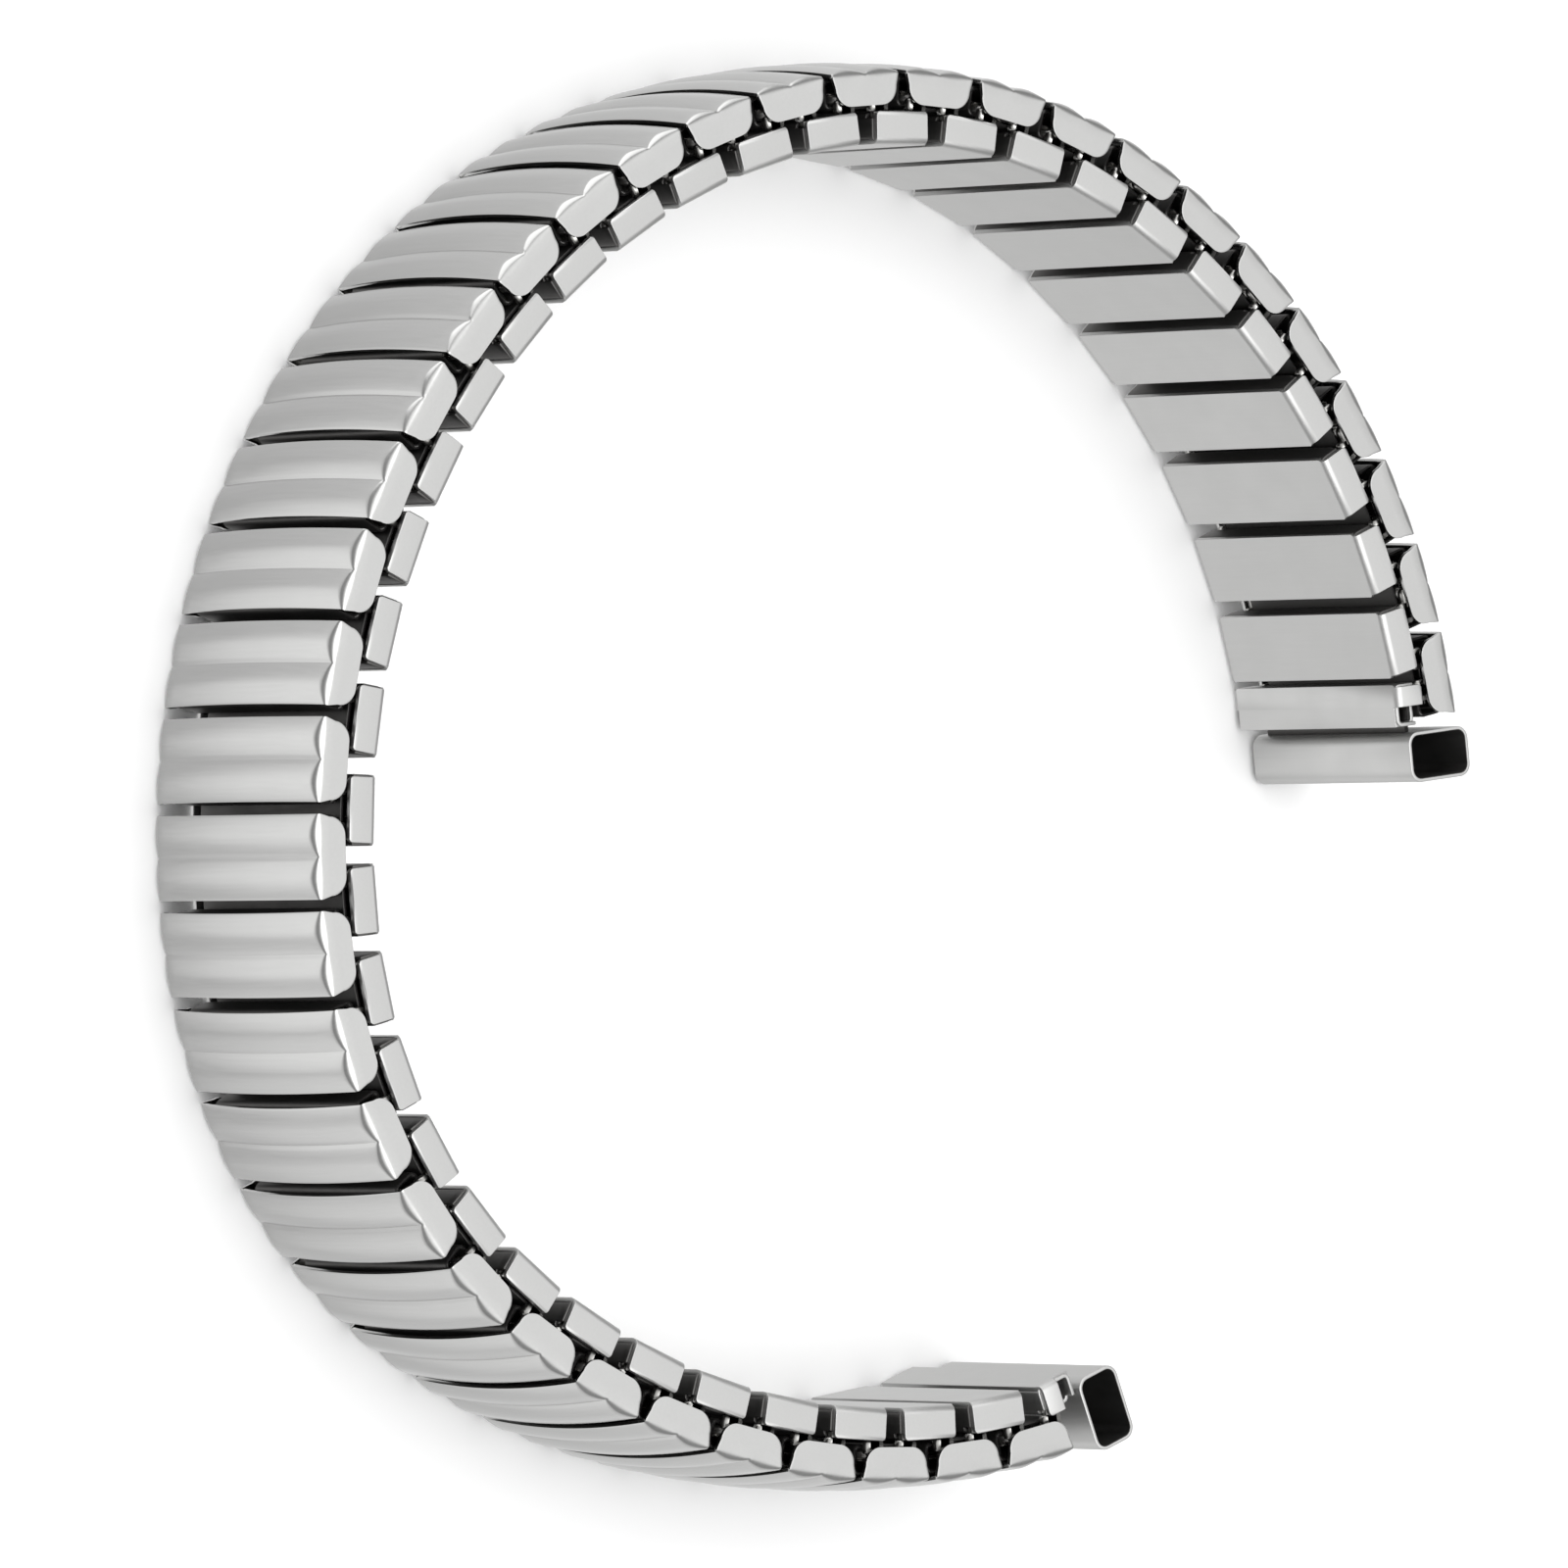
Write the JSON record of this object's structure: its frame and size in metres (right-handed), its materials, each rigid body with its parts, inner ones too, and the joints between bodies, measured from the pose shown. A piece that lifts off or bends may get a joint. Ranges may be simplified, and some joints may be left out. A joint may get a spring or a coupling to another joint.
{
  "type": "expansion watch band",
  "caption": "Stainless steel expansion watch band of two staggered rows of sprung sleeve links, curved open, with a rolled tube at each end for a spring bar.",
  "frame": {"origin": "centre of the bounding box at the plane the band's side edge rests on", "axes": "+Z along the band's width (the hinge axes), +X across the open ends, -Y out of the open side, +Y towards the middle link"},
  "size_m": [0.0552, 0.0504, 0.01],
  "materials": {
    "polished_steel": "polished, lightly brushed",
    "satin_steel": "satin"
  },
  "bodies": {
    "outer_link_01": {"outer_link_01": "polished_steel"},
    "inner_link_01": {"inner_link_01": "satin_steel"},
    "link_pair_02": {"link_pair_02": "polished_steel"},
    "outer_link_03": {"outer_link_03": "polished_steel"},
    "inner_link_03": {"inner_link_03": "satin_steel"},
    "link_pair_04": {"link_pair_04": "polished_steel"},
    "outer_link_05": {"outer_link_05": "polished_steel"},
    "inner_link_05": {"inner_link_05": "satin_steel"},
    "link_pair_06": {"link_pair_06": "polished_steel"},
    "outer_link_07": {"outer_link_07": "polished_steel"},
    "inner_link_07": {"inner_link_07": "satin_steel"},
    "link_pair_08": {"link_pair_08": "polished_steel"},
    "outer_link_09": {"outer_link_09": "polished_steel"},
    "inner_link_09": {"inner_link_09": "satin_steel"},
    "link_pair_10": {"link_pair_10": "polished_steel"},
    "outer_link_11": {"outer_link_11": "polished_steel"},
    "inner_link_11": {"inner_link_11": "satin_steel"},
    "link_pair_12": {"link_pair_12": "polished_steel"},
    "outer_link_13": {"outer_link_13": "polished_steel"},
    "inner_link_13": {"inner_link_13": "satin_steel"},
    "link_pair_14": {"link_pair_14": "polished_steel"},
    "outer_link_15": {"outer_link_15": "polished_steel"},
    "inner_link_15": {"inner_link_15": "satin_steel"},
    "link_pair_16": {"link_pair_16": "polished_steel"},
    "outer_link_17": {"outer_link_17": "polished_steel"},
    "inner_link_17": {"inner_link_17": "satin_steel"},
    "link_pair_18": {"link_pair_18": "polished_steel"},
    "outer_link_19": {"outer_link_19": "polished_steel"},
    "inner_link_19": {"inner_link_19": "satin_steel"},
    "link_pair_20": {"link_pair_20": "polished_steel"},
    "outer_link_21": {"outer_link_21": "polished_steel"},
    "inner_link_21": {"inner_link_21": "satin_steel"},
    "link_pair_22": {"link_pair_22": "polished_steel"},
    "outer_link_23": {"outer_link_23": "polished_steel"},
    "inner_link_23": {"inner_link_23": "satin_steel"},
    "link_pair_24": {"link_pair_24": "polished_steel"},
    "outer_link_25": {"outer_link_25": "polished_steel"},
    "inner_link_25": {"inner_link_25": "satin_steel"},
    "link_pair_26": {"link_pair_26": "polished_steel"},
    "outer_link_27": {"outer_link_27": "polished_steel"},
    "inner_link_27": {"inner_link_27": "satin_steel"},
    "link_pair_28": {"link_pair_28": "polished_steel"},
    "outer_link_29": {"outer_link_29": "polished_steel"},
    "inner_link_29": {"inner_link_29": "satin_steel"},
    "link_pair_30": {"link_pair_30": "polished_steel"},
    "outer_link_31": {"outer_link_31": "polished_steel"},
    "inner_link_31": {"inner_link_31": "satin_steel"},
    "link_pair_32": {"link_pair_32": "polished_steel"},
    "outer_link_33": {"outer_link_33": "polished_steel"},
    "inner_link_33": {"inner_link_33": "satin_steel"},
    "link_pair_34": {"link_pair_34": "polished_steel"},
    "outer_link_35": {"outer_link_35": "polished_steel"},
    "inner_link_35": {"inner_link_35": "satin_steel"},
    "link_pair_36": {"link_pair_36": "polished_steel"},
    "outer_link_37": {"outer_link_37": "polished_steel"},
    "end_piece_first": {"end_link_first": "satin_steel", "end_tube_first": "satin_steel"},
    "end_piece_last": {"end_link_last": "satin_steel", "end_tube_last": "satin_steel"}
  },
  "joints": [
    {"name": "curl_19", "type": "hinge", "parent": "outer_link_19", "child": "inner_link_19", "pos_m": [-0.00137, 0.02278, 0.005], "axis": [0, 0, 1], "range_deg": [-7.15, 1.29]},
    {"name": "stretch_19", "type": "slide", "parent": "inner_link_19", "child": "link_pair_20", "axis": [-0.9922, -0.1245, 0], "range_m": [0, 0.001], "stiffness_N_per_m": 250},
    {"name": "curl_21", "type": "hinge", "parent": "outer_link_21", "child": "inner_link_21", "pos_m": [-0.00799, 0.02175, 0.005], "axis": [0, 0, 1], "range_deg": [-7.15, 1.29]},
    {"name": "curl_24", "type": "hinge", "parent": "link_pair_24", "child": "outer_link_25", "pos_m": [-0.01832, 0.01612, 0.005], "axis": [0, 0, 1], "range_deg": [-7.15, 1.29]},
    {"name": "curl_27", "type": "hinge", "parent": "outer_link_27", "child": "inner_link_27", "pos_m": [-0.02331, 0.00956, 0.005], "axis": [0, 0, 1], "range_deg": [-9.8, 1.76]},
    {"name": "curl_30", "type": "hinge", "parent": "link_pair_30", "child": "outer_link_31", "pos_m": [-0.02497, -0.00202, 0.005], "axis": [0, 0, 1], "range_deg": [-6.25, 1.12]},
    {"name": "curl_33", "type": "hinge", "parent": "outer_link_33", "child": "inner_link_33", "pos_m": [-0.02292, -0.01003, 0.005], "axis": [0, 0, 1], "range_deg": [-6.25, 1.12]},
    {"name": "curl_last", "type": "hinge", "parent": "outer_link_37", "child": "end_piece_last", "pos_m": [-0.01515, -0.02119, 0.005], "axis": [0, 0, 1], "range_deg": [-10, 1.8]},
    {"name": "curl_20", "type": "hinge", "parent": "link_pair_20", "child": "outer_link_21", "pos_m": [-0.00646, 0.02214, 0.005], "axis": [0, 0, 1], "range_deg": [-7.15, 1.29]},
    {"name": "stretch_21", "type": "slide", "parent": "inner_link_21", "child": "link_pair_22", "axis": [-0.9307, -0.3657, 0], "range_m": [0, 0.001], "stiffness_N_per_m": 250},
    {"name": "curl_22", "type": "hinge", "parent": "link_pair_22", "child": "outer_link_23", "pos_m": [-0.01277, 0.01987, 0.005], "axis": [0, 0, 1], "range_deg": [-7.15, 1.29]},
    {"name": "curl_23", "type": "hinge", "parent": "outer_link_23", "child": "inner_link_23", "pos_m": [-0.01415, 0.01912, 0.005], "axis": [0, 0, 1], "range_deg": [-7.15, 1.29]},
    {"name": "stretch_23", "type": "slide", "parent": "inner_link_23", "child": "link_pair_24", "axis": [-0.8116, -0.5842, 0], "range_m": [0, 0.001], "stiffness_N_per_m": 250},
    {"name": "curl_25", "type": "hinge", "parent": "outer_link_25", "child": "inner_link_25", "pos_m": [-0.01948, 0.01504, 0.005], "axis": [0, 0, 1], "range_deg": [-9.8, 1.76]},
    {"name": "stretch_25", "type": "slide", "parent": "inner_link_25", "child": "link_pair_26", "axis": [-0.606, -0.7955, 0], "range_m": [0, 0.001], "stiffness_N_per_m": 250},
    {"name": "curl_26", "type": "hinge", "parent": "link_pair_26", "child": "outer_link_27", "pos_m": [-0.02258, 0.01096, 0.005], "axis": [0, 0, 1], "range_deg": [-9.8, 1.76]},
    {"name": "stretch_27", "type": "slide", "parent": "inner_link_27", "child": "link_pair_28", "axis": [-0.304, -0.9527, 0], "range_m": [0, 0.001], "stiffness_N_per_m": 250},
    {"name": "curl_28", "type": "hinge", "parent": "link_pair_28", "child": "outer_link_29", "pos_m": [-0.02487, 0.00468, 0.005], "axis": [0, 0, 1], "range_deg": [-9.8, 1.76]},
    {"name": "curl_29", "type": "hinge", "parent": "outer_link_29", "child": "inner_link_29", "pos_m": [-0.02509, 0.00311, 0.005], "axis": [0, 0, 1], "range_deg": [-9.8, 1.76]},
    {"name": "stretch_29", "type": "slide", "parent": "inner_link_29", "child": "link_pair_30", "axis": [0.0332, -0.9995, 0], "range_m": [0, 0.001], "stiffness_N_per_m": 250},
    {"name": "curl_31", "type": "hinge", "parent": "outer_link_31", "child": "inner_link_31", "pos_m": [-0.02475, -0.00358, 0.005], "axis": [0, 0, 1], "range_deg": [-6.25, 1.13]},
    {"name": "stretch_31", "type": "slide", "parent": "inner_link_31", "child": "link_pair_32", "axis": [0.2487, -0.9686, 0], "range_m": [0, 0.001], "stiffness_N_per_m": 250},
    {"name": "curl_32", "type": "hinge", "parent": "link_pair_32", "child": "outer_link_33", "pos_m": [-0.02347, -0.00855, 0.005], "axis": [0, 0, 1], "range_deg": [-6.25, 1.13]},
    {"name": "stretch_33", "type": "slide", "parent": "inner_link_33", "child": "link_pair_34", "axis": [0.4524, -0.8918, 0], "range_m": [0, 0.001], "stiffness_N_per_m": 250},
    {"name": "curl_34", "type": "hinge", "parent": "link_pair_34", "child": "outer_link_35", "pos_m": [-0.02059, -0.01461, 0.005], "axis": [0, 0, 1], "range_deg": [-6.25, 1.13]},
    {"name": "curl_35", "type": "hinge", "parent": "outer_link_35", "child": "inner_link_35", "pos_m": [-0.01973, -0.01593, 0.005], "axis": [0, 0, 1], "range_deg": [-6.25, 1.13]},
    {"name": "stretch_35", "type": "slide", "parent": "inner_link_35", "child": "link_pair_36", "axis": [0.6347, -0.7727, 0], "range_m": [0, 0.001], "stiffness_N_per_m": 250},
    {"name": "curl_36", "type": "hinge", "parent": "link_pair_36", "child": "outer_link_37", "pos_m": [-0.01647, -0.0199, 0.005], "axis": [0, 0, 1], "range_deg": [-6.25, 1.13]},
    {"name": "curl_18", "type": "hinge", "parent": "outer_link_19", "child": "link_pair_18", "pos_m": [0.00021, 0.02278, 0.005], "axis": [0, 0, -1], "range_deg": [-7.15, 1.29]},
    {"name": "stretch_17", "type": "slide", "parent": "link_pair_18", "child": "inner_link_17", "axis": [0.9922, -0.1245, 0], "range_m": [0, 0.001], "stiffness_N_per_m": 250},
    {"name": "curl_17", "type": "hinge", "parent": "inner_link_17", "child": "outer_link_17", "pos_m": [0.00531, 0.02214, 0.005], "axis": [0, 0, -1], "range_deg": [-7.15, 1.29]},
    {"name": "curl_16", "type": "hinge", "parent": "outer_link_17", "child": "link_pair_16", "pos_m": [0.00684, 0.02175, 0.005], "axis": [0, 0, -1], "range_deg": [-7.15, 1.29]},
    {"name": "stretch_15", "type": "slide", "parent": "link_pair_16", "child": "inner_link_15", "axis": [0.9307, -0.3657, 0], "range_m": [0, 0.001], "stiffness_N_per_m": 250},
    {"name": "curl_15", "type": "hinge", "parent": "inner_link_15", "child": "outer_link_15", "pos_m": [0.01162, 0.01987, 0.005], "axis": [0, 0, -1], "range_deg": [-7.15, 1.29]},
    {"name": "curl_14", "type": "hinge", "parent": "outer_link_15", "child": "link_pair_14", "pos_m": [0.013, 0.01912, 0.005], "axis": [0, 0, -1], "range_deg": [-7.15, 1.29]},
    {"name": "stretch_13", "type": "slide", "parent": "link_pair_14", "child": "inner_link_13", "axis": [0.8116, -0.5842, 0], "range_m": [0, 0.001], "stiffness_N_per_m": 250},
    {"name": "curl_13", "type": "hinge", "parent": "inner_link_13", "child": "outer_link_13", "pos_m": [0.01717, 0.01612, 0.005], "axis": [0, 0, -1], "range_deg": [-7.15, 1.29]},
    {"name": "curl_12", "type": "hinge", "parent": "outer_link_13", "child": "link_pair_12", "pos_m": [0.01833, 0.01504, 0.005], "axis": [0, 0, -1], "range_deg": [-8.3, 1.5]},
    {"name": "stretch_11", "type": "slide", "parent": "link_pair_12", "child": "inner_link_11", "axis": [0.6266, -0.7793, 0], "range_m": [0, 0.001], "stiffness_N_per_m": 250},
    {"name": "curl_11", "type": "hinge", "parent": "inner_link_11", "child": "outer_link_11", "pos_m": [0.02154, 0.01104, 0.005], "axis": [0, 0, -1], "range_deg": [-8.3, 1.5]},
    {"name": "curl_10", "type": "hinge", "parent": "outer_link_11", "child": "link_pair_10", "pos_m": [0.02234, 0.00968, 0.005], "axis": [0, 0, -1], "range_deg": [-8.3, 1.5]},
    {"name": "stretch_09", "type": "slide", "parent": "link_pair_10", "child": "inner_link_09", "axis": [0.3778, -0.9259, 0], "range_m": [0, 0.001], "stiffness_N_per_m": 250},
    {"name": "curl_09", "type": "hinge", "parent": "inner_link_09", "child": "outer_link_09", "pos_m": [0.02428, 0.00493, 0.005], "axis": [0, 0, -1], "range_deg": [-8.3, 1.5]},
    {"name": "curl_08", "type": "hinge", "parent": "outer_link_09", "child": "link_pair_08", "pos_m": [0.02466, 0.0034, 0.005], "axis": [0, 0, -1], "range_deg": [-8.3, 1.5]},
    {"name": "stretch_07", "type": "slide", "parent": "link_pair_08", "child": "inner_link_07", "axis": [0.0976, -0.9952, 0], "range_m": [0, 0.001], "stiffness_N_per_m": 250},
    {"name": "curl_07", "type": "hinge", "parent": "inner_link_07", "child": "outer_link_07", "pos_m": [0.02518, -0.00171, 0.005], "axis": [0, 0, -1], "range_deg": [-7, 1.26]},
    {"name": "curl_06", "type": "hinge", "parent": "outer_link_07", "child": "link_pair_06", "pos_m": [0.02514, -0.00329, 0.005], "axis": [0, 0, -1], "range_deg": [-7, 1.26]},
    {"name": "stretch_05", "type": "slide", "parent": "link_pair_06", "child": "inner_link_05", "axis": [-0.1461, -0.9893, 0], "range_m": [0, 0.001], "stiffness_N_per_m": 250},
    {"name": "curl_05", "type": "hinge", "parent": "inner_link_05", "child": "outer_link_05", "pos_m": [0.02439, -0.00836, 0.005], "axis": [0, 0, -1], "range_deg": [-7, 1.26]},
    {"name": "curl_04", "type": "hinge", "parent": "outer_link_05", "child": "link_pair_04", "pos_m": [0.02397, -0.00989, 0.005], "axis": [0, 0, -1], "range_deg": [-7, 1.26]},
    {"name": "stretch_03", "type": "slide", "parent": "link_pair_04", "child": "inner_link_03", "axis": [-0.3811, -0.9245, 0], "range_m": [0, 0.001], "stiffness_N_per_m": 250},
    {"name": "curl_03", "type": "hinge", "parent": "inner_link_03", "child": "outer_link_03", "pos_m": [0.02202, -0.01463, 0.005], "axis": [0, 0, -1], "range_deg": [-7, 1.26]},
    {"name": "curl_02", "type": "hinge", "parent": "outer_link_03", "child": "link_pair_02", "pos_m": [0.02124, -0.01601, 0.005], "axis": [0, 0, -1], "range_deg": [-7, 1.26]},
    {"name": "stretch_01", "type": "slide", "parent": "link_pair_02", "child": "inner_link_01", "axis": [-0.5934, -0.8049, 0], "range_m": [0, 0.001], "stiffness_N_per_m": 250},
    {"name": "curl_01", "type": "hinge", "parent": "inner_link_01", "child": "outer_link_01", "pos_m": [0.0182, -0.02014, 0.005], "axis": [0, 0, -1], "range_deg": [-7, 1.26]},
    {"name": "curl_first", "type": "hinge", "parent": "outer_link_01", "child": "end_piece_first", "pos_m": [0.01734, -0.02104, 0.005], "axis": [0, 0, -1], "range_deg": [-6, 1.08]}
  ],
  "couplings": [
    {"joint": "curl_20", "follows": "curl_19", "ratio": 1},
    {"joint": "stretch_21", "follows": "stretch_19", "ratio": 1},
    {"joint": "curl_22", "follows": "curl_21", "ratio": 1},
    {"joint": "curl_23", "follows": "curl_21", "ratio": 1},
    {"joint": "stretch_23", "follows": "stretch_19", "ratio": 1},
    {"joint": "curl_25", "follows": "curl_24", "ratio": 1.3706},
    {"joint": "stretch_25", "follows": "stretch_19", "ratio": 1},
    {"joint": "curl_26", "follows": "curl_24", "ratio": 1.3706},
    {"joint": "stretch_27", "follows": "stretch_19", "ratio": 1},
    {"joint": "curl_28", "follows": "curl_27", "ratio": 1},
    {"joint": "curl_29", "follows": "curl_27", "ratio": 1},
    {"joint": "stretch_29", "follows": "stretch_19", "ratio": 1},
    {"joint": "curl_31", "follows": "curl_30", "ratio": 1},
    {"joint": "stretch_31", "follows": "stretch_19", "ratio": 1},
    {"joint": "curl_32", "follows": "curl_30", "ratio": 1},
    {"joint": "stretch_33", "follows": "stretch_19", "ratio": 1},
    {"joint": "curl_34", "follows": "curl_33", "ratio": 1},
    {"joint": "curl_35", "follows": "curl_33", "ratio": 1},
    {"joint": "stretch_35", "follows": "stretch_19", "ratio": 1},
    {"joint": "curl_36", "follows": "curl_33", "ratio": 1},
    {"joint": "curl_18", "follows": "curl_19", "ratio": 1},
    {"joint": "stretch_17", "follows": "stretch_19", "ratio": 1},
    {"joint": "curl_17", "follows": "curl_19", "ratio": 1},
    {"joint": "curl_16", "follows": "curl_21", "ratio": 1},
    {"joint": "stretch_15", "follows": "stretch_19", "ratio": 1},
    {"joint": "curl_15", "follows": "curl_21", "ratio": 1},
    {"joint": "curl_14", "follows": "curl_21", "ratio": 1},
    {"joint": "stretch_13", "follows": "stretch_19", "ratio": 1},
    {"joint": "curl_13", "follows": "curl_24", "ratio": 1},
    {"joint": "curl_12", "follows": "curl_24", "ratio": 1.1608},
    {"joint": "stretch_11", "follows": "stretch_19", "ratio": 1},
    {"joint": "curl_11", "follows": "curl_24", "ratio": 1.1608},
    {"joint": "curl_10", "follows": "curl_27", "ratio": 0.84694},
    {"joint": "stretch_09", "follows": "stretch_19", "ratio": 1},
    {"joint": "curl_09", "follows": "curl_27", "ratio": 0.84694},
    {"joint": "curl_08", "follows": "curl_27", "ratio": 0.84694},
    {"joint": "stretch_07", "follows": "stretch_19", "ratio": 1},
    {"joint": "curl_07", "follows": "curl_30", "ratio": 1.12},
    {"joint": "curl_06", "follows": "curl_30", "ratio": 1.12},
    {"joint": "stretch_05", "follows": "stretch_19", "ratio": 1},
    {"joint": "curl_05", "follows": "curl_30", "ratio": 1.12},
    {"joint": "curl_04", "follows": "curl_33", "ratio": 1.12},
    {"joint": "stretch_03", "follows": "stretch_19", "ratio": 1},
    {"joint": "curl_03", "follows": "curl_33", "ratio": 1.12},
    {"joint": "curl_02", "follows": "curl_33", "ratio": 1.12},
    {"joint": "stretch_01", "follows": "stretch_19", "ratio": 1},
    {"joint": "curl_01", "follows": "curl_33", "ratio": 1.12},
    {"joint": "curl_first", "follows": "curl_last", "ratio": 0.6}
  ]
}
